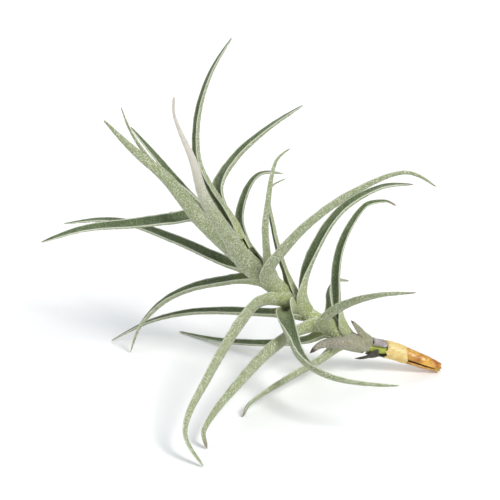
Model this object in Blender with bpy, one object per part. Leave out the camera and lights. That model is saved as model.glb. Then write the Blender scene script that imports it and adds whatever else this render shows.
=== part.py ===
"""An air plant, picked and lying on a flat surface: a bent stem in a tuft of gutter-shaped leaves.

The stem rises from its dry cut end, which rests on the surface, to the young heart of the plant.
Every leaf clasps the stem with its base and then follows its own route to its tip, and six of
the long ones reach down to the surface and prop the plant up.

Sizes and routes are in millimetres. A route's x runs along the plant, y towards its back and z
up from the surface. FOOTPRINT_MIDDLE is where the finished part has its origin.
"""

from typing import NamedTuple

import bpy
import numpy as np

MM = 0.001
FOOTPRINT_MIDDLE = np.array([-1.3, -13.0, 0.0])
GAP = 0.3  # between one piece and the next
UP = np.array([0.0, 0.0, 1.0])

# The stem's centre line, from the cut end to the growing tip.
STEM_ROUTE = [
    (79, 0, 1.8), (67, 0, 6.6), (58, 0, 10), (49, 0, 12), (41, 0, 15), (33, 0, 20),
    (25, 0, 25), (13, 2, 35), (0, 3, 49), (-10, 5, 64),
]
STEM_SIDES = 12
STEM_RINGS = 20

# The stem's radius, by distance along it from the cut end.
STEM_RADII = {0: 1.3, 2: 1.9, 24: 2.1, 30: 2.5, 60: 2.7, 90: 2.2, 108: 1.5, 113: 0.6}

SHEATH_WALL = 0.5
SHEATH_SIDES = 14
SHEATH_RINGS = 7

# A leaf in cross-section is a gutter, this deep for its half width.
GUTTER_DEPTH = 0.62
LEAF_RINGS = 19
TIP_HALF_WIDTH = 0.4

# A leaf's clasping base: its half width, how far up it has widened into the blade, and how
# much it leans outwards where it leaves the stem.
CLASP_HALF_WIDTH = 1.9
CLASP_LENGTH = 5.0
CLASP_LEAN = 0.35


class Sheath(NamedTuple):
    """What a lost leaf left round the stem: where it starts and ends (mm from the cut end), its
    outer radius at both ends, and its split: the middle and the width, in degrees. The angles
    go round the stem from its top (0) by its back (90)."""

    start: float
    end: float
    radii: tuple
    split_at: float
    split_width: float


SHEATHS = {
    "dry_husk": Sheath(2.5, 17.0, (2.75, 3.3), 250, 50),
    "yellow_sheath": Sheath(17.3, 24.0, (3.3, 3.45), 60, 26),
    "grey_sheath": Sheath(25.0, 29.6, (3.4, 3.4), 235, 150),
}


class Leaf(NamedTuple):
    """A leaf by its place on the stem (mm from the cut end), its widest half width, its
    thickness and the route of its midrib, which ends at its tip."""

    station: float
    half_width: float
    thickness: float
    route: list


# What is left of the oldest leaves: a dead point under the stem and two short stubs.
OLD_LEAVES = {
    "dead_point": Leaf(28, 1.1, 0.7, [(47, -3, 8.4), (43, -3, 7.8)]),
    "stub_1": Leaf(32, 2.0, 1.2, [(45, -1, 19), (41, -1, 24)]),
    "stub_2": Leaf(34, 2.6, 1.4, [(38, -8, 17), (29, -11, 18), (24, -13, 15)]),
}

# The long leaves, in the order in which they leave the stem.
LEAVES = {
    "leaf_01": Leaf(40, 1.9, 1.0, [(28, -9, 10), (14, -22, 8), (0, -36, 5), (-3, -39, 0.3)]),
    "leaf_02": Leaf(42, 1.9, 1.1, [(35, 2, 37), (37, 7, 54), (46, 11, 69), (54, 12, 71), (59, 12, 69)]),
    "leaf_03": Leaf(46, 1.6, 0.9, [(33, 14, 27), (36, 32, 27), (43, 42, 23)]),
    "leaf_04": Leaf(48, 1.6, 1.0, [(24, 6, 12), (10, 15, 6), (-12, 26, 2), (-31, 38, 0.5)]),
    "leaf_05": Leaf(50, 2.2, 1.2, [(30, -8, 28), (38, -16, 38), (50, -27, 47), (63, -32, 50)]),
    "leaf_06": Leaf(54, 2.2, 1.2, [(13, -14, 21), (-4, -44, 18), (-17, -60, 7), (-16, -63, 0.2)]),
    "leaf_07": Leaf(62, 2.5, 1.2, [(21, -1, 37), (25, 3, 51), (36, 10, 67), (52, 14, 76), (66, 15, 77)]),
    "leaf_08": Leaf(67, 1.7, 0.9, [(14, 8, 43), (10, 20, 54), (8, 31, 69), (15, 34, 73)]),
    "leaf_09": Leaf(62, 2.0, 1.0, [(10, 4, 25), (-22, 21, 18), (-42, 27, 11), (-60, 29, 0.5)]),
    "leaf_10": Leaf(66, 2.9, 1.2, [(14, -8, 32), (17, -25, 26), (22, -40, 24), (34, -53, 24), (55, -58, 24)]),
    "leaf_11": Leaf(
        74.5, 3.2, 1.4, [(7, -7, 47), (13, -13, 60), (24, -17, 74), (40, -20, 87), (58, -22, 95), (70, -22, 89)]
    ),
    "leaf_12": Leaf(70, 2.6, 1.3, [(5, -6, 35), (-3, -22, 34), (-16, -52, 24), (-24, -69, 11), (-17, -76, 0.3)]),
    "leaf_13": Leaf(81, 2.2, 1.1, [(6, 1, 60), (7, 4, 74), (10, 8, 89), (16, 10, 94)]),
    "leaf_14": Leaf(82, 2.4, 1.1, [(-14, 8, 37), (-33, 14, 28), (-46, 17, 14), (-51, 18, 0.2)]),
    "leaf_15": Leaf(
        78, 3.6, 1.6, [(-2, -5, 51), (-8, -13, 65), (-17, -26, 86), (-21, -32, 103), (-27, -35, 120), (-27, -36, 128)]
    ),
    "leaf_16": Leaf(87, 2.1, 1.0, [(-4, 20, 57), (-2, 29, 68), (4, 34, 75), (14, 37, 74)]),
    "leaf_17": Leaf(85, 3.6, 1.5, [(-18, -6, 68), (-32, -10, 88), (-44, -12, 100), (-55, -12, 112)]),
    "leaf_18": Leaf(88, 2.2, 1.1, [(-10, 8, 46), (-31, 20, 51), (-56, 32, 55), (-79, 36, 52)]),
    "leaf_19": Leaf(94, 1.9, 1.0, [(-17, 20, 56), (-28, 41, 54), (-35, 50, 52)]),
    "leaf_20": Leaf(96, 2.6, 1.2, [(-21, 1, 68), (-31, -1, 68), (-45, -3, 67), (-65, -6, 66), (-82, -8, 61)]),
    "leaf_21": Leaf(98, 3.1, 1.2, [(-13, 14, 73), (-7, 28, 83), (7, 36, 94), (22, 40, 103)]),
    "leaf_22": Leaf(103.5, 2.2, 1.1, [(-20, 10, 86), (-21, 13, 104), (-16, 15, 122), (-7, 16, 137)]),
    "leaf_23": Leaf(105, 2.0, 1.1, [(-24, 13, 72), (-38, 18, 88), (-48, 22, 99)]),
    "leaf_24": Leaf(109, 1.9, 1.0, [(-22, 6, 74), (-36, 8, 86), (-45, 7, 99), (-50, 6, 112)]),
}


def unit(vector):
    return vector / np.linalg.norm(vector)


def smooth_curve(points, first_tangent):
    """Close samples of a smooth curve through the points, as a Hermite spline."""
    points = np.array(points, float)
    lengths = np.linalg.norm(np.diff(points, axis=0), axis=1)
    knots = np.concatenate([[0], np.cumsum(lengths)])
    tangents = np.empty_like(points)
    tangents[1:-1] = (points[2:] - points[:-2]) / (knots[2:] - knots[:-2])[:, None]
    tangents[0] = 1.5 * (points[1] - points[0]) / lengths[0] - 0.5 * tangents[1]
    tangents[-1] = 1.5 * (points[-1] - points[-2]) / lengths[-1] - 0.5 * tangents[-2]
    if first_tangent is not None:
        tangents[0] = first_tangent
    stretches = []
    for i, length in enumerate(lengths):
        s = np.linspace(0, 1, 24, endpoint=(i == len(lengths) - 1))[:, None]
        stretches.append(
            (2 * s**3 - 3 * s**2 + 1) * points[i]
            + (s**3 - 2 * s**2 + s) * length * tangents[i]
            + (3 * s**2 - 2 * s**3) * points[i + 1]
            + (s**3 - s**2) * length * tangents[i + 1]
        )
    return np.concatenate(stretches)


class Route:
    """A smooth curve that can be read at any distance along it."""

    def __init__(self, points, first_tangent=None):
        self.samples = smooth_curve(points, first_tangent)
        steps = np.linalg.norm(np.diff(self.samples, axis=0), axis=1)
        self.distances = np.concatenate([[0], np.cumsum(steps)])
        self.length = self.distances[-1]

    def at(self, distance):
        return np.array([np.interp(distance, self.distances, axis) for axis in self.samples.T])

    def tangent(self, distance):
        ahead = self.at(min(distance + 0.5, self.length))
        behind = self.at(max(distance - 0.5, 0))
        return unit(ahead - behind)


STEM = Route(STEM_ROUTE)


def stem_radius(station):
    return np.interp(station, list(STEM_RADII), list(STEM_RADII.values()))


def carried_frames(route, distances, normal):
    """Centre, normal and side at each distance, turning with the curve but never about it."""
    frames = []
    for distance in distances:
        tangent = route.tangent(distance)
        normal = unit(normal - normal.dot(tangent) * tangent)
        frames.append((route.at(distance), normal, np.cross(tangent, normal)))
    return frames


def material(name, color, roughness):
    made = bpy.data.materials.new(name)
    made.use_nodes = True
    shader = made.node_tree.nodes["Principled BSDF"]
    shader.inputs["Base Color"].default_value = (*color, 1)
    shader.inputs["Roughness"].default_value = roughness
    shader.inputs["Metallic"].default_value = 0
    return made


def add_object(name, rings, seat, finish):
    """A smooth closed solid lofted through rings of points, with flat ends and its origin at its
    seat. Nothing reaches under the surface that the plant lies on."""
    points = np.concatenate(rings)
    points[:, 2] = np.maximum(points[:, 2], 0)
    sides = len(rings[0])
    last = len(points) - sides
    faces = [tuple(reversed(range(sides))), tuple(range(last, last + sides))]
    for start in range(0, last, sides):
        for side in range(sides):
            beside = (side + 1) % sides
            faces.append((start + side, start + beside, start + sides + beside, start + sides + side))
    mesh = bpy.data.meshes.new(name)
    mesh.from_pydata(((points - seat) * MM).tolist(), [], faces)
    mesh.materials.append(finish)
    mesh.shade_smooth()
    made = bpy.data.objects.new(name, mesh)
    made.location = (seat - FOOTPRINT_MIDDLE) * MM
    bpy.context.collection.objects.link(made)


def around_stem(distances, outlines):
    """Rings round the stem: an outline is (radius, angle) pairs, with angle 0 at the top."""
    rings = []
    for (centre, top, back), outline in zip(carried_frames(STEM, distances, UP), outlines):
        rings.append(np.array([centre + radius * (np.cos(a) * top + np.sin(a) * back) for radius, a in outline]))
    return rings


def add_stem(finish):
    distances = np.linspace(0, STEM.length, STEM_RINGS)
    angles = np.linspace(0, 2 * np.pi, STEM_SIDES, endpoint=False)
    outlines = [[(stem_radius(distance), a) for a in angles] for distance in distances]
    add_object("stem", around_stem(distances, outlines), STEM.at(0), finish)


def add_sheath(name, sheath, finish):
    """A thin shell curled round the stem, open along its split."""
    distances = np.linspace(sheath.start, sheath.end, SHEATH_RINGS)
    half_split = sheath.split_width / 2
    angles = np.radians(
        np.linspace(sheath.split_at + half_split, sheath.split_at + 360 - half_split, SHEATH_SIDES)
    )
    outlines = []
    for outer in np.linspace(*sheath.radii, SHEATH_RINGS):
        inner = outer - SHEATH_WALL
        outlines.append([(outer, a) for a in angles] + [(inner, a) for a in reversed(angles)])
    add_object(name, around_stem(distances, outlines), STEM.at(sheath.start), finish)


def clasp_half_width(leaf):
    return min(CLASP_HALF_WIDTH, leaf.half_width)


def leaf_half_width(leaf, distance, length):
    """Narrow where the leaf clasps the stem, widest just above, then tapering to the tip."""
    opened = min(distance / CLASP_LENGTH, 1)
    clasp = clasp_half_width(leaf)
    clasping = clasp + (leaf.half_width - clasp) * opened
    tapering = leaf.half_width * 1.12 * (1 - distance / length) ** 0.8
    return max(min(clasping, tapering), TIP_HALF_WIDTH)


def leaf_outline(half_width, thickness):
    """The gutter's outline as (across, outwards) pairs: along its outer side, then back inside."""
    thickness = min(thickness, 1.3 * half_width)
    across = np.array([-1, -0.6, 0, 0.6, 1])
    bowl = GUTTER_DEPTH * half_width * (1 - across**2)
    outer = [(a * half_width, depth + thickness / 2) for a, depth in zip(across[1:4], bowl[1:4])]
    inner = [(a * half_width, depth - thickness / 2) for a, depth in zip(across[3:0:-1], bowl[3:0:-1])]
    return [(-half_width, 0), *outer, (half_width, 0), *inner]


def add_leaf(name, leaf, finish):
    """A leaf that starts beside the stem, on the side that its route leads to."""
    stem_point = STEM.at(leaf.station)
    stem_tangent = STEM.tangent(leaf.station)
    ahead = np.array(leaf.route[0], float) - stem_point
    outwards = unit(ahead - ahead.dot(stem_tangent) * stem_tangent)
    midrib_gap = GAP + leaf.thickness / 2 - GUTTER_DEPTH * clasp_half_width(leaf)
    seat = stem_point + outwards * (stem_radius(leaf.station) + midrib_gap)
    route = Route([seat, *leaf.route], first_tangent=unit(stem_tangent + CLASP_LEAN * outwards))
    distances = np.linspace(0, route.length, LEAF_RINGS)
    rings = []
    for distance, (centre, outer, side) in zip(distances, carried_frames(route, distances, outwards)):
        outline = leaf_outline(leaf_half_width(leaf, distance, route.length), leaf.thickness)
        rings.append(np.array([centre + across * side + depth * outer for across, depth in outline]))
    add_object(name, rings, seat, finish)


def build():
    for existing in list(bpy.data.objects):
        bpy.data.objects.remove(existing, do_unlink=True)
    add_stem(material("live_stem", (0.42, 0.50, 0.10), 0.55))
    add_sheath("dry_husk", SHEATHS["dry_husk"], material("dry_husk", (0.62, 0.36, 0.10), 0.35))
    add_sheath("yellow_sheath", SHEATHS["yellow_sheath"], material("yellow_sheath", (0.78, 0.64, 0.33), 0.5))
    add_sheath("grey_sheath", SHEATHS["grey_sheath"], material("grey_sheath", (0.45, 0.40, 0.40), 0.8))
    add_leaf("dead_point", OLD_LEAVES["dead_point"], material("dead_leaf", (0.10, 0.09, 0.06), 0.8))
    stub = material("stub_leaf", (0.50, 0.48, 0.38), 0.85)
    add_leaf("stub_1", OLD_LEAVES["stub_1"], stub)
    add_leaf("stub_2", OLD_LEAVES["stub_2"], stub)
    silver = material("silver_leaf", (0.52, 0.58, 0.42), 0.8)
    for name, leaf in LEAVES.items():
        add_leaf(name, leaf, silver)


build()
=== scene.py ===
"""The looks of the air plant: the stem and every CAD leaf and sheath get a finely modelled piece.

Leaves follow the same routes as the CAD leaves, in millimetres, but have thin margins, broad
sheaths that wrap the stem and a rough coat of silver scales.
"""

from typing import NamedTuple

import bpy
import numpy as np
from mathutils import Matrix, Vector


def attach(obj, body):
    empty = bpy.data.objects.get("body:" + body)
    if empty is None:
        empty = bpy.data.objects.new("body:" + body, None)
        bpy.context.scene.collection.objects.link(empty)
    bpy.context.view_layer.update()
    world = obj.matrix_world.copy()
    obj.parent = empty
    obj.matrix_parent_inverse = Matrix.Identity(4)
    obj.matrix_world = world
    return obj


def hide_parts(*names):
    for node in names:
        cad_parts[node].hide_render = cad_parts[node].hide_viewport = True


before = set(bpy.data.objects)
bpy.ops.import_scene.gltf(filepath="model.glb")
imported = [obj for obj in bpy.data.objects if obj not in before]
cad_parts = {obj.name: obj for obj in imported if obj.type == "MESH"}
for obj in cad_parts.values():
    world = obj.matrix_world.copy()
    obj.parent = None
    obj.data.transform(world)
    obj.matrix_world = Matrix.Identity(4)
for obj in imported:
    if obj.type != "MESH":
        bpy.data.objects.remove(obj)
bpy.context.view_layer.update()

MM = 0.001
UP = np.array([0.0, 0.0, 1.0])
# Where the frame's origin lies in the coordinates of the routes below.
FOOTPRINT_MIDDLE = np.array([-1.3, -13.0, 0.0])
LOWEST_POINT = 0.02
random = np.random.default_rng(7)

STEM_ROUTE = [
    (79, 0, 1.8), (67, 0, 6.6), (58, 0, 10), (49, 0, 12), (41, 0, 15), (33, 0, 20),
    (25, 0, 25), (13, 2, 35), (0, 3, 49), (-10, 5, 64),
]
STEM_RADII = {0: 1.3, 2: 1.9, 24: 2.1, 30: 2.5, 60: 2.7, 90: 2.2, 108: 1.5, 113: 0.6}


class Sheath(NamedTuple):
    """A shell round the stem, from start to end along it.

    radii are those at its two ends. The split's middle and width are in degrees round the stem,
    from the top towards the back. ragged is how far its ends are torn.
    """

    start: float
    end: float
    radii: tuple
    split_at: float
    split_width: float
    ragged: float


DRY_HUSK = Sheath(0.5, 17.8, (1.5, 3.3), 258, 17, 0.7)
YELLOW_SHEATH = Sheath(16.2, 24.6, (3.3, 3.55), 60, 14, 1.3)
GREY_SHEATH = Sheath(24.0, 31.6, (3.2, 3.6), 258, 95, 1.5)


class Leaf(NamedTuple):
    """Place on the stem, widest half width, thickness and the midrib's route to the tip.

    twist is how many degrees the blade turns about its midrib. The blade narrows by the power
    taper of what is left of its length, so a low one gives a blunt leaf. fuller widens a leaf
    that the camera sees from its narrow side.
    """

    station: float
    half_width: float
    thickness: float
    route: list
    twist: float = 0
    taper: float = 0.5
    fuller: float = 1


DEAD_POINT = Leaf(28, 1.1, 0.7, [(47, -3, 8.4), (43, -3, 7.8)])
STUBS = {
    "stub_1": Leaf(32, 2.0, 1.2, [(45, -1, 19), (41, -1, 24)]),
    "stub_2": Leaf(34, 2.6, 1.4, [(38, -8, 17), (29, -11, 18), (24, -13, 15)]),
}

LEAVES = {
    "leaf_01": Leaf(
        40, 1.9, 1.0, [(28, -9, 10), (14, -22, 8), (0, -36, 5), (-3, -39, 0.3)], taper=0.36, fuller=1.35
    ),
    "leaf_02": Leaf(
        42, 1.9, 1.1, [(35, 2, 37), (37, 7, 54), (46, 11, 69), (54, 12, 71), (59, 12, 69)], twist=50
    ),
    "leaf_03": Leaf(46, 1.6, 0.9, [(33, 14, 27), (36, 32, 27), (43, 42, 23)]),
    "leaf_04": Leaf(48, 1.6, 1.0, [(24, 6, 12), (10, 15, 6), (-12, 26, 2), (-31, 38, 0.5)]),
    "leaf_05": Leaf(50, 2.2, 1.2, [(30, -8, 28), (38, -16, 38), (50, -27, 47), (63, -32, 50)], twist=-60),
    "leaf_06": Leaf(
        54, 2.2, 1.2, [(13, -14, 21), (-4, -44, 18), (-17, -60, 7), (-16, -63, 0.2)],
        twist=35, taper=0.36, fuller=1.2,
    ),
    "leaf_07": Leaf(
        62, 2.5, 1.2, [(21, -1, 37), (25, 3, 51), (36, 10, 67), (52, 14, 76), (66, 15, 77)], twist=50
    ),
    "leaf_08": Leaf(67, 1.7, 0.9, [(14, 8, 43), (10, 20, 54), (8, 31, 69), (15, 34, 73)]),
    "leaf_09": Leaf(62, 2.0, 1.0, [(10, 4, 25), (-22, 21, 18), (-42, 27, 11), (-60, 29, 0.5)]),
    "leaf_10": Leaf(
        66, 2.9, 1.2, [(14, -8, 32), (17, -25, 26), (22, -40, 24), (34, -53, 24), (55, -58, 24)], twist=-95
    ),
    "leaf_11": Leaf(
        74.5, 3.2, 1.4,
        [(7, -7, 47), (13, -13, 60), (24, -17, 74), (40, -20, 87), (58, -22, 95), (70, -22, 89)],
    ),
    "leaf_12": Leaf(
        70, 2.6, 1.3, [(5, -6, 35), (-3, -22, 34), (-16, -52, 24), (-24, -69, 11), (-17, -76, 0.3)],
        twist=35, taper=0.38, fuller=1.15,
    ),
    "leaf_13": Leaf(81, 2.2, 1.1, [(6, 1, 60), (7, 4, 74), (10, 8, 89), (16, 10, 94)]),
    "leaf_14": Leaf(82, 2.4, 1.1, [(-14, 8, 37), (-33, 14, 28), (-46, 17, 14), (-51, 18, 0.2)]),
    "leaf_15": Leaf(
        78, 3.6, 1.6,
        [(-2, -5, 51), (-8, -13, 65), (-17, -26, 86), (-21, -32, 103), (-27, -35, 120), (-27, -36, 128)],
        taper=0.85,
    ),
    "leaf_16": Leaf(87, 2.1, 1.0, [(-4, 20, 57), (-2, 29, 68), (4, 34, 75), (14, 37, 74)]),
    "leaf_17": Leaf(
        85, 3.6, 1.5, [(-18, -6, 68), (-32, -10, 88), (-44, -12, 100), (-55, -12, 112)], taper=0.6
    ),
    "leaf_18": Leaf(88, 2.2, 1.1, [(-10, 8, 46), (-31, 20, 51), (-56, 32, 55), (-79, 36, 52)]),
    "leaf_19": Leaf(94, 1.9, 1.0, [(-17, 20, 56), (-28, 41, 54), (-35, 50, 52)]),
    "leaf_20": Leaf(
        96, 2.6, 1.2, [(-21, 1, 68), (-31, -1, 68), (-45, -3, 67), (-65, -6, 66), (-82, -8, 61)], twist=-65
    ),
    "leaf_21": Leaf(98, 3.1, 1.2, [(-13, 14, 73), (-7, 28, 83), (7, 36, 94), (22, 40, 103)]),
    "leaf_22": Leaf(103.5, 2.2, 1.1, [(-20, 10, 86), (-21, 13, 104), (-16, 15, 122), (-7, 16, 137)]),
    "leaf_23": Leaf(105, 2.0, 1.1, [(-24, 13, 72), (-38, 18, 88), (-48, 22, 99)]),
    "leaf_24": Leaf(109, 1.9, 1.0, [(-22, 6, 74), (-36, 8, 86), (-45, 7, 99), (-50, 6, 112)]),
}
BROWN_TIPPED_LEAVES = ("leaf_01", "leaf_02", "leaf_05", "leaf_06", "leaf_07")
PALE_TIPPED_LEAF = "leaf_15"

# A leaf's section is an arc: first the sheath, which wraps the stem, then the gutter of the blade.
# A wrap is the arc's half angle in radians. On a short leaf the sheath ends, and the blade starts,
# at a share of the leaf's length instead.
SHEATH_RADIUS = 3.6
SHEATH_WRAP = 1.75
SHEATH_THICKNESS = 0.45
SHEATH_END = 4.0
SHEATH_END_SHARE = 0.12
BLADE_START = 15.0
BLADE_START_SHARE = 0.45
BLADE_WRAP = 1.45
# A narrow leaf is a little fuller than its CAD solid, up to this half width.
FULLNESS = 1.14
FULLEST = 3.1
# Above 1, so that the blade keeps its full width before it starts to narrow.
TAPER_REACH = 1.1
TIP_WRAP = 0.9
TIP_HALF_WIDTH = 0.42
TIP_ROUNDING = 1.4
TIP_END = 0.03
MOST_THICKNESS_PER_WIDTH = 1.25
MARGIN_THICKNESS = 0.16
MARGIN_FALL = 0.7
MOST_ROUGHNESS = 0.1
ROUGHNESS_PER_THICKNESS = 0.2
EDGE_WAVE = 0.035
LEAN_OFF_STEM = 0.35
# The shares of a leaf's length between which it twists.
TWIST_BETWEEN = (0.02, 0.36)
LEAF_STEPS = 210
HALF_SIDES = 18
ACROSS = np.linspace(-1, 1, HALF_SIDES)


def unit(vector):
    return vector / np.linalg.norm(vector)


def smooth_step(low, high, value):
    """0 up to low, 1 from high on and a smooth rise between them."""
    t = np.clip((value - low) / (high - low), 0, 1)
    return t * t * (3 - 2 * t)


def smooth_curve(points, first_tangent):
    """Close samples of a smooth curve through the points, as a Hermite spline."""
    points = np.array(points, float)
    lengths = np.linalg.norm(np.diff(points, axis=0), axis=1)
    knots = np.concatenate([[0], np.cumsum(lengths)])
    tangents = np.empty_like(points)
    tangents[1:-1] = (points[2:] - points[:-2]) / (knots[2:] - knots[:-2])[:, None]
    tangents[0] = 1.5 * (points[1] - points[0]) / lengths[0] - 0.5 * tangents[1]
    tangents[-1] = 1.5 * (points[-1] - points[-2]) / lengths[-1] - 0.5 * tangents[-2]
    if first_tangent is not None:
        tangents[0] = first_tangent
    stretches = []
    for i, length in enumerate(lengths):
        s = np.linspace(0, 1, 24, endpoint=(i == len(lengths) - 1))[:, None]
        stretches.append(
            (2 * s**3 - 3 * s**2 + 1) * points[i]
            + (s**3 - 2 * s**2 + s) * length * tangents[i]
            + (3 * s**2 - 2 * s**3) * points[i + 1]
            + (s**3 - s**2) * length * tangents[i + 1]
        )
    return np.concatenate(stretches)


class Route:
    """A smooth curve that can be read at any distance along it."""

    def __init__(self, points, first_tangent=None):
        self.samples = smooth_curve(points, first_tangent)
        steps = np.linalg.norm(np.diff(self.samples, axis=0), axis=1)
        self.distances = np.concatenate([[0], np.cumsum(steps)])
        self.length = self.distances[-1]

    def at(self, distance):
        return np.array([np.interp(distance, self.distances, axis) for axis in self.samples.T])

    def tangent(self, distance):
        return unit(self.at(min(distance + 0.5, self.length)) - self.at(max(distance - 0.5, 0)))


STEM = Route(STEM_ROUTE)


def stem_radius(station):
    return np.interp(station, list(STEM_RADII), list(STEM_RADII.values()))


def carried_frames(route, distances, normal):
    """Centre, normal and side at each distance, turning with the curve but never about it."""
    frames = []
    for distance in distances:
        tangent = route.tangent(distance)
        normal = unit(normal - normal.dot(tangent) * tangent)
        frames.append((route.at(distance), normal, np.cross(tangent, normal)))
    return frames


def wobble(count, spacing):
    """Smooth random values between -1 and 1 that change over `spacing` steps."""
    knots = random.uniform(-1, 1, int(count / spacing) + 3)
    return np.interp(np.arange(count) / spacing, np.arange(len(knots)), knots)


def lofted_faces(n_rings, sides):
    """Faces of a tube of rings, with both ends closed."""
    last = (n_rings - 1) * sides
    faces = [tuple(reversed(range(sides))), tuple(range(last, last + sides))]
    for start in range(0, last, sides):
        for side in range(sides):
            beside = (side + 1) % sides
            faces.append((start + side, start + beside, start + sides + beside, start + sides + side))
    return faces


def add_piece(name, rings, values, finish):
    """A closed lofted mesh in place of a CAD node. values maps an attribute to its numbers."""
    points = np.concatenate(rings)
    points[:, 2] = np.maximum(points[:, 2], LOWEST_POINT)
    mesh = bpy.data.meshes.new(name + "_fine")
    faces = lofted_faces(len(rings), len(rings[0]))
    mesh.from_pydata(((points - FOOTPRINT_MIDDLE) * MM).tolist(), [], faces)
    for attribute, numbers in values.items():
        mesh.attributes.new(attribute, "FLOAT", "POINT").data.foreach_set("value", numbers)
    mesh.materials.append(finish)
    mesh.shade_smooth()
    piece = bpy.data.objects.new(name + "_fine", mesh)
    bpy.context.collection.objects.link(piece)
    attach(piece, "root")
    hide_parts(name)


def sheath_wrap(half_width):
    """Half angle of a leaf's sheath round the stem, less on the narrowest leaves."""
    return min(SHEATH_WRAP, SHEATH_WRAP * (half_width + 1) / 3.0)


def leaf_section(leaf, distance, length):
    """Arc radius, arc half angle and thickness of the leaf at a distance from its base."""
    half_width = leaf.half_width * leaf.fuller
    covered = distance / length
    widest = max(half_width, min(FULLNESS * half_width, FULLEST))
    chord = max(widest * min(TAPER_REACH * (1 - covered) ** leaf.taper, 1), TIP_HALF_WIDTH)
    chord *= np.sqrt(np.clip((length - distance) / TIP_ROUNDING, TIP_END, 1))
    wrap = BLADE_WRAP + (TIP_WRAP - BLADE_WRAP) * smooth_step(0.6, 1, covered)
    radius = chord / np.sin(wrap)
    thickness = min(leaf.thickness, MOST_THICKNESS_PER_WIDTH * chord)
    sheath_end = min(SHEATH_END, SHEATH_END_SHARE * length)
    blade_start = min(BLADE_START, BLADE_START_SHARE * length)
    blade = smooth_step(sheath_end, blade_start, distance)
    wrap = sheath_wrap(half_width) + (wrap - sheath_wrap(half_width)) * blade
    radius = SHEATH_RADIUS + (radius - SHEATH_RADIUS) * blade
    thickness = SHEATH_THICKNESS + (thickness - SHEATH_THICKNESS) * blade
    return radius, wrap, thickness


def leaf_midrib(leaf):
    """The leaf's route from the stem, and the direction away from the stem at its base."""
    stem_point = STEM.at(leaf.station)
    stem_tangent = STEM.tangent(leaf.station)
    ahead = np.array(leaf.route[0], float) - stem_point
    outwards = unit(ahead - ahead.dot(stem_tangent) * stem_tangent)
    sheath_depth = SHEATH_RADIUS * (1 - np.cos(sheath_wrap(leaf.half_width * leaf.fuller)))
    seat = stem_point + outwards * (SHEATH_RADIUS - sheath_depth / 2)
    first_tangent = unit(stem_tangent + LEAN_OFF_STEM * outwards)
    return Route([seat, *leaf.route], first_tangent), outwards


def leaf_ring(section, centre, outer, side, edges):
    """Points along the outside of the leaf's section, then back along its inside."""
    radius, wrap, thickness = section
    depth = radius * (1 - np.cos(wrap))
    angles = ACROSS * wrap * np.where(ACROSS < 0, *edges)
    layer = MARGIN_THICKNESS + (thickness - MARGIN_THICKNESS) * (1 - ACROSS**2) ** MARGIN_FALL
    layer = np.minimum(layer, thickness)
    roughness = min(MOST_ROUGHNESS, ROUGHNESS_PER_THICKNESS * thickness)
    scales = roughness * random.uniform(-1, 1, HALF_SIDES)
    middle = centre + (depth / 2 - radius) * outer
    spokes = np.cos(angles)[:, None] * outer + np.sin(angles)[:, None] * side
    outside = middle + (radius + layer / 2 + scales)[:, None] * spokes
    inside = middle + (radius - layer / 2)[:, None] * spokes
    return np.concatenate([outside, inside[::-1]])


def add_leaf(name, leaf, finish):
    route, outwards = leaf_midrib(leaf)
    distances = np.linspace(0, route.length, LEAF_STEPS)
    left_edge = 1 + EDGE_WAVE * wobble(LEAF_STEPS, 6)
    right_edge = 1 + EDGE_WAVE * wobble(LEAF_STEPS, 6)
    turns = np.radians(leaf.twist) * smooth_step(*TWIST_BETWEEN, distances / route.length)
    rings = []
    for i, (centre, normal, across) in enumerate(carried_frames(route, distances, outwards)):
        outer = np.cos(turns[i]) * normal + np.sin(turns[i]) * across
        side = np.cos(turns[i]) * across - np.sin(turns[i]) * normal
        section = leaf_section(leaf, distances[i], route.length)
        rings.append(leaf_ring(section, centre, outer, side, (left_edge[i], right_edge[i])))
    values = {
        "outer": np.tile(np.repeat([1.0, 0.0], HALF_SIDES), LEAF_STEPS),
        "edge": np.tile(np.abs(np.concatenate([ACROSS, ACROSS[::-1]])), LEAF_STEPS),
        "along": np.repeat(distances / route.length, 2 * HALF_SIDES),
        "from_base": np.repeat(distances, 2 * HALF_SIDES),
    }
    add_piece(name, rings, values, finish)


def add_stem(finish):
    """A ribbed, bumpy stem, rounded at its cut end and fuller where the leaves' sheaths wrap it."""
    steps = 220
    sides = 40
    end_rounding = 1.6
    distances = np.linspace(0, STEM.length, steps)
    angles = np.linspace(0, 2 * np.pi, sides, endpoint=False)
    ribs = 0.05 * np.sin(9 * angles)
    bumps = 0.08 * wobble(steps, 5)
    rounded = 0.35 + 0.65 * np.sqrt(np.minimum(distances / end_rounding, 1))
    wrapped = smooth_step(31, 36, distances) * (1 - smooth_step(109, 113, distances))
    radii = stem_radius(distances) * rounded + bumps + 0.7 * wrapped
    rings = []
    for radius, (centre, top, back) in zip(radii, carried_frames(STEM, distances, UP)):
        spokes = np.cos(angles)[:, None] * top + np.sin(angles)[:, None] * back
        rings.append(centre + (radius + ribs)[:, None] * spokes)
    add_piece("stem", rings, {"along": np.repeat(distances, sides)}, finish)


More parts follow.
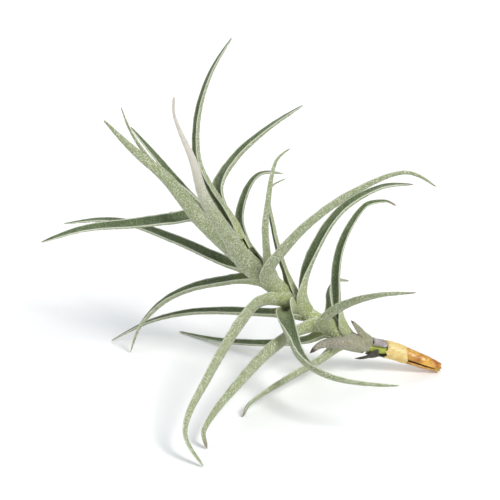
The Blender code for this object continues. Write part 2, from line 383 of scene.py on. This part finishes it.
def add_sheath(name, sheath, finish):
    """A thin shell with ragged ends, a torn split and fine lengthwise ribs."""
    steps = 70
    sides = 60
    half_wall = 0.18
    most_torn = 2.5
    first_angle = sheath.split_at + sheath.split_width / 2
    last_angle = sheath.split_at + 360 - sheath.split_width / 2
    angles = np.radians(np.linspace(first_angle, last_angle, sides))
    fray = 0.3 * sheath.ragged * random.uniform(-1, 1, (2, sides))
    torn_start = sheath.start + sheath.ragged * wobble(sides, 5) + fray[0]
    torn_end = sheath.end + sheath.ragged * wobble(sides, 4) + fray[1]
    ribs = 0.06 * wobble(sides, 1.5)
    crinkle = 0.12 * wobble(steps, 6)
    stations = np.linspace(max(sheath.start - most_torn, 0), sheath.end + most_torn, 60)
    stem_frames = np.array(carried_frames(STEM, stations, UP)).reshape(len(stations), -1)
    rings = []
    for t, pucker in zip(np.linspace(0, 1, steps), crinkle):
        distances = np.maximum(torn_start * (1 - t) + torn_end * t, 0)
        columns = [np.interp(distances, stations, column) for column in stem_frames.T]
        centres, tops, backs = np.split(np.stack(columns, axis=1), 3, axis=1)
        spokes = np.cos(angles)[:, None] * tops + np.sin(angles)[:, None] * backs
        radii = np.interp(t**0.5, (0, 1), sheath.radii) + ribs + pucker
        outside = centres + (radii + half_wall)[:, None] * spokes
        inside = centres + (radii - half_wall)[:, None] * spokes
        rings.append(np.concatenate([outside, inside[::-1]]))
    add_piece(name, rings, {}, finish)


class Nodes:
    """Short calls for building a material's node tree."""

    def __init__(self, name):
        self.material = bpy.data.materials.new(name)
        self.material.use_nodes = True
        self.tree = self.material.node_tree
        self.shader = self.tree.nodes["Principled BSDF"]

    def link(self, source, target):
        self.tree.links.new(source, target)

    def attribute(self, name):
        node = self.tree.nodes.new("ShaderNodeAttribute")
        node.attribute_name = name
        return node.outputs["Fac"]

    def coordinates(self, stretch=(1, 1, 1)):
        place = self.tree.nodes.new("ShaderNodeTexCoord")
        mapping = self.tree.nodes.new("ShaderNodeMapping")
        mapping.inputs["Scale"].default_value = stretch
        self.link(place.outputs["Object"], mapping.inputs["Vector"])
        return mapping.outputs["Vector"]

    def noise(self, cells_per_metre, detail=3, stretch=(1, 1, 1)):
        node = self.tree.nodes.new("ShaderNodeTexNoise")
        node.inputs["Scale"].default_value = cells_per_metre
        node.inputs["Detail"].default_value = detail
        self.link(self.coordinates(stretch), node.inputs["Vector"])
        return node.outputs["Fac"]

    def cells(self, cells_per_metre):
        node = self.tree.nodes.new("ShaderNodeTexVoronoi")
        node.inputs["Scale"].default_value = cells_per_metre
        self.link(self.coordinates(), node.inputs["Vector"])
        return node.outputs["Distance"]

    def span(self, value, low, high, to_low=0.0, to_high=1.0):
        """A clamped rescale of a value."""
        node = self.tree.nodes.new("ShaderNodeMapRange")
        self.link(value, node.inputs["Value"])
        node.inputs["From Min"].default_value = low
        node.inputs["From Max"].default_value = high
        node.inputs["To Min"].default_value = to_low
        node.inputs["To Max"].default_value = to_high
        return node.outputs["Result"]

    def times(self, a, b):
        node = self.tree.nodes.new("ShaderNodeMath")
        node.operation = "MULTIPLY"
        self.link(a, node.inputs[0])
        self.link(b, node.inputs[1])
        return node.outputs["Value"]

    def mix(self, amount, a, b):
        """Colour a where amount is 0 and colour b where it is 1."""
        node = self.tree.nodes.new("ShaderNodeMix")
        node.data_type = "RGBA"
        self.link(amount, node.inputs["Factor"])
        for socket, colour in zip((node.inputs[6], node.inputs[7]), (a, b)):
            if isinstance(colour, tuple):
                socket.default_value = (*colour, 1)
            else:
                self.link(colour, socket)
        return node.outputs[2]

    def bump(self, height, strength, distance):
        node = self.tree.nodes.new("ShaderNodeBump")
        node.inputs["Strength"].default_value = strength
        node.inputs["Distance"].default_value = distance
        self.link(height, node.inputs["Height"])
        self.link(node.outputs["Normal"], self.shader.inputs["Normal"])

    def finish(self, colour, roughness, sheen=0.0):
        """Joins up the shader. roughness is a number or an output of a node."""
        self.link(colour, self.shader.inputs["Base Color"])
        if isinstance(roughness, float):
            self.shader.inputs["Roughness"].default_value = roughness
        else:
            self.link(roughness, self.shader.inputs["Roughness"])
        self.shader.inputs["Sheen Weight"].default_value = sheen
        self.shader.inputs["Sheen Roughness"].default_value = 0.5
        return self.material


class LeafColours(NamedTuple):
    """Linear colours of a leaf's parts, and where along it the tip's starts and how fast.

    cover is how much of the outer face the scales hide.
    """

    inner: tuple
    outer: tuple
    scales: tuple
    sheath: tuple
    tip: tuple
    tip_from: float
    tip_fade: float = 0.05
    cover: float = 0.95


SILVER = LeafColours(
    inner=(0.05, 0.082, 0.018),
    outer=(0.23, 0.275, 0.12),
    scales=(0.78, 0.80, 0.65),
    sheath=(0.33, 0.38, 0.115),
    tip=(0.32, 0.24, 0.15),
    tip_from=0.985,
)
BROWN_TIPPED = SILVER._replace(tip=(0.28, 0.19, 0.15), tip_from=0.94)
PALE_TIPPED = SILVER._replace(tip=(0.66, 0.61, 0.54), tip_from=0.5, tip_fade=0.25)
STUB = LeafColours(
    inner=(0.14, 0.13, 0.08),
    outer=(0.25, 0.23, 0.165),
    scales=(0.62, 0.585, 0.50),
    sheath=(0.27, 0.27, 0.14),
    tip=(0.05, 0.03, 0.018),
    tip_from=0.88,
    cover=0.85,
)
DEAD = LeafColours(
    inner=(0.03, 0.026, 0.018),
    outer=(0.04, 0.034, 0.024),
    scales=(0.13, 0.12, 0.09),
    sheath=(0.05, 0.05, 0.03),
    tip=(0.02, 0.016, 0.012),
    tip_from=0.7,
    cover=0.6,
)


class DryLook(NamedTuple):
    """A dried sheath's linear colours and roughness, and how drawn out its fibres are."""

    pale: tuple
    dark: tuple
    least_rough: float
    most_rough: float
    fibre_stretch: float


AMBER = DryLook((0.80, 0.47, 0.09), (0.40, 0.13, 0.015), 0.15, 0.4, 0.18)
STRAW = DryLook((0.84, 0.70, 0.34), (0.74, 0.52, 0.16), 0.35, 0.6, 0.15)
GREY_PAPER = DryLook((0.50, 0.45, 0.45), (0.27, 0.23, 0.23), 0.7, 0.9, 0.3)


def scaled(colour, share):
    return tuple(share * channel for channel in colour)


def leaf_material(name, colours):
    """Green flesh under silver scales: dense outside, thin inside, a bright line on the margins."""
    nodes = Nodes(name)
    outer = nodes.attribute("outer")
    scales = nodes.span(nodes.cells(2150), 0.3, 0.55, 1, 0)
    patches = nodes.span(nodes.noise(420, 4), 0.35, 0.65, 0.45, 1)
    flesh_tone = nodes.span(nodes.noise(160, 3), 0.3, 0.7)
    inner = nodes.mix(flesh_tone, colours.inner, scaled(colours.inner, 1.5))
    flesh = nodes.mix(outer, inner, colours.outer)
    sheath = nodes.span(nodes.attribute("from_base"), 4, 17, 0.8, 0)
    flesh = nodes.mix(sheath, flesh, colours.sheath)
    covered = nodes.span(outer, 0, 1, 0.30 * colours.cover, colours.cover)
    amount = nodes.times(nodes.times(scales, patches), covered)
    coated = nodes.mix(amount, flesh, colours.scales)
    margin = nodes.span(nodes.attribute("edge"), 0.86, 0.97, 0, 0.7 * colours.cover)
    edged = nodes.mix(margin, coated, colours.scales)
    tip_end = colours.tip_from + colours.tip_fade
    tip = nodes.span(nodes.attribute("along"), colours.tip_from, tip_end, 0, 0.9)
    nodes.bump(scales, 0.7, 0.00018)
    roughness = nodes.span(scales, 0, 1, 0.5, 0.85)
    return nodes.finish(nodes.mix(tip, edged, colours.tip), roughness, sheen=0.25)


def dry_material(name, look):
    """Dried sheath: lengthwise fibres, blotches and a dry gloss."""
    nodes = Nodes(name)
    fibres = nodes.noise(1800, 4, stretch=(look.fibre_stretch, 1, 1))
    blotches = nodes.noise(260, 4)
    tone = nodes.mix(nodes.span(blotches, 0.35, 0.65), look.pale, look.dark)
    streaks = nodes.span(fibres, 0.35, 0.7, 0, 0.55)
    colour = nodes.mix(streaks, tone, scaled(look.dark, 0.55))
    nodes.bump(fibres, 0.5, 0.00015)
    return nodes.finish(colour, nodes.span(blotches, 0.3, 0.7, look.least_rough, look.most_rough))


def stem_material():
    """Lime green where the stem is bare, dark red-brown in the husk as painted shade for the husk's slot,
    and silvery among the leaves.
    """
    nodes = Nodes("live_stem_skin")
    fibres = nodes.noise(1500, 4, stretch=(0.25, 1, 1))
    green = nodes.mix(nodes.span(fibres, 0.3, 0.7), (0.36, 0.44, 0.045), (0.55, 0.60, 0.12))
    along = nodes.attribute("along")
    # Painted shade: the stem is dark red-brown where the husk covers it, so the husk's split looks like a
    # dark slot.
    painted_husk_shade = nodes.times(nodes.span(along, 2.2, 3.5), nodes.span(along, 14, 17, 1, 0))
    skin = nodes.mix(painted_husk_shade, green, (0.20, 0.06, 0.012))
    scales = nodes.span(nodes.cells(1700), 0.3, 0.55, 1, 0)
    scaly = nodes.mix(scales, SILVER.sheath, SILVER.scales)
    nodes.bump(fibres, 0.35, 0.00012)
    return nodes.finish(nodes.mix(nodes.span(along, 30, 34), skin, scaly), 0.5)


def add_stage():
    """A plain white surface."""
    mesh = bpy.data.meshes.new("floor")
    half = 6.0
    corners = [(-half, -half, 0), (half, -half, 0), (half, half, 0), (-half, half, 0)]
    mesh.from_pydata(corners, [], [(0, 1, 2, 3)])
    floor = bpy.data.objects.new("floor", mesh)
    bpy.context.collection.objects.link(floor)
    nodes = Nodes("floor_white")
    shade = nodes.mix(nodes.noise(3, 1), (0.93, 0.93, 0.93), (0.95, 0.95, 0.95))
    mesh.materials.append(nodes.finish(shade, 0.7))
    nodes.shader.inputs["Specular IOR Level"].default_value = 0.1


def add_light(name, place, target, size, power, colour):
    light = bpy.data.lights.new(name, "AREA")
    light.shape = "DISK"
    light.size = size
    light.energy = power
    light.color = colour
    lamp = bpy.data.objects.new(name, light)
    lamp.location = place
    lamp.rotation_euler = (Vector(target) - Vector(place)).to_track_quat("-Z", "Y").to_euler()
    bpy.context.collection.objects.link(lamp)


def add_world():
    world = bpy.data.worlds.new("studio")
    world.use_nodes = True
    background = world.node_tree.nodes["Background"]
    background.inputs["Color"].default_value = (0.93, 0.965, 1.0, 1)
    background.inputs["Strength"].default_value = 0.6
    bpy.context.scene.world = world


def add_lights():
    """A soft key from the front right and above, and weak lights from the left and the back."""
    target = (0.0, 0.0, 0.05)
    add_light("key", (1.9, -1.9, 2.9), target, 1.3, 100, (1.0, 0.985, 0.96))
    add_light("fill", (-0.9, -0.7, 0.7), target, 0.9, 3, (0.93, 0.97, 1.0))
    add_light("back", (0.1, 1.2, 0.9), target, 0.9, 5, (1, 1, 1))


def add_camera():
    """A 100 mm lens, 22 degrees above the surface, looking along +Y."""
    camera = bpy.data.cameras.new("camera")
    camera.lens = 100
    camera.sensor_width = 36
    camera.clip_start = 0.01
    rig = bpy.data.objects.new("camera", camera)
    target = (np.array([0, 0, 54.5]) - FOOTPRINT_MIDDLE) * MM
    elevation = np.radians(22)
    distance = 0.555
    rig.location = target + distance * np.array([0, -np.cos(elevation), np.sin(elevation)])
    rig.rotation_euler = (np.pi / 2 - elevation, 0, 0)
    bpy.context.collection.objects.link(rig)
    bpy.context.scene.camera = rig


def add_plant():
    add_stem(stem_material())
    add_sheath("dry_husk", DRY_HUSK, dry_material("amber_husk", AMBER))
    add_sheath("yellow_sheath", YELLOW_SHEATH, dry_material("straw_sheath", STRAW))
    add_sheath("grey_sheath", GREY_SHEATH, dry_material("grey_paper", GREY_PAPER))
    add_leaf("dead_point", DEAD_POINT, leaf_material("dead_leaf_skin", DEAD))
    stub_skin = leaf_material("stub_leaf_skin", STUB)
    for name, stub in STUBS.items():
        add_leaf(name, stub, stub_skin)
    silver_skin = leaf_material("silver_leaf_skin", SILVER)
    browned_skin = leaf_material("brown_tipped_skin", BROWN_TIPPED)
    skins = dict.fromkeys(BROWN_TIPPED_LEAVES, browned_skin)
    skins[PALE_TIPPED_LEAF] = leaf_material("pale_tipped_skin", PALE_TIPPED)
    for name, leaf in LEAVES.items():
        add_leaf(name, leaf, skins.get(name, silver_skin))


add_plant()
add_stage()
add_world()
add_lights()
add_camera()
bpy.context.scene.view_settings.view_transform = "Standard"
